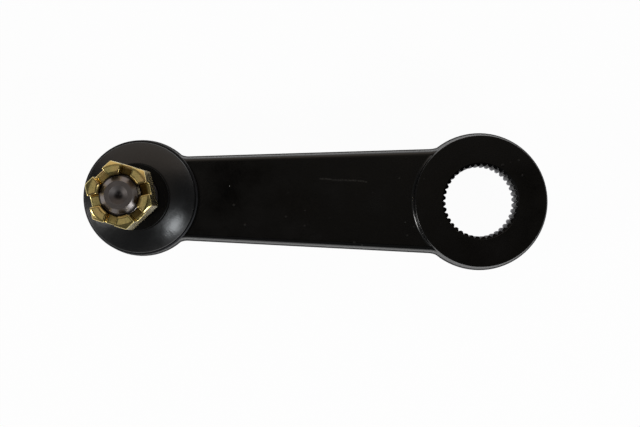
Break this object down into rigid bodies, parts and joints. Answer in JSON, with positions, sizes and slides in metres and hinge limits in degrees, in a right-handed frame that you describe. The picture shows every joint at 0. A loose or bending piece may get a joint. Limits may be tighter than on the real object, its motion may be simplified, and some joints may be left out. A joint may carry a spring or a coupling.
{
  "type": "pitman arm",
  "caption": "Forged steering arm with a serrated bore at one end and a booted ball joint with tapered stud and castle nut at the other.",
  "frame": {"origin": "middle of the serrated bore, on the parting plane of the forging", "axes": "+Z along the serrated bore towards the stud side, +X along the arm from the ball joint to the bore"},
  "size_m": [0.1927, 0.057, 0.0867],
  "materials": {
    "black_paint": "gloss black paint over a forged skin, with thin paint on the serrations",
    "stud_steel": "turned steel, dull grey",
    "seat_plastic": "moulded bearing plastic, matte",
    "spring_steel": "spring steel, oiled",
    "cover_steel": "pressed steel, plated",
    "boot_rubber": "moulded rubber, satin",
    "ring_steel": "drawn wire, blackened",
    "yellow_zinc": "yellow zinc plate on steel, satin"
  },
  "bodies": {
    "arm": {"arm": "black_paint", "upper_ball_seat": "seat_plastic", "lower_ball_seat": "seat_plastic", "disc_spring": "spring_steel", "cover_plate": "cover_steel", "boot_base_ring": "ring_steel"},
    "boot": {"dust_boot": "boot_rubber"},
    "neck_ring": {"boot_neck_ring": "ring_steel"},
    "stud": {"ball_stud": "stud_steel", "castle_nut": "yellow_zinc"}
  },
  "joints": [
    {"name": "swing_direction", "type": "hinge", "parent": "arm", "child": "boot", "pos_m": [-0.14, 0, 0.00348], "axis": [0, 0, 1], "continuous": true},
    {"name": "swing_tilt", "type": "hinge", "parent": "boot", "child": "neck_ring", "pos_m": [-0.14, 0, 0.00348], "axis": [0, 1, 0], "range_deg": [-16, 24], "deforming": ["dust_boot"]},
    {"name": "stud_spin", "type": "hinge", "parent": "neck_ring", "child": "stud", "pos_m": [-0.14, 0, 0.00348], "axis": [-0.0698, 0, 0.9976], "continuous": true}
  ]
}
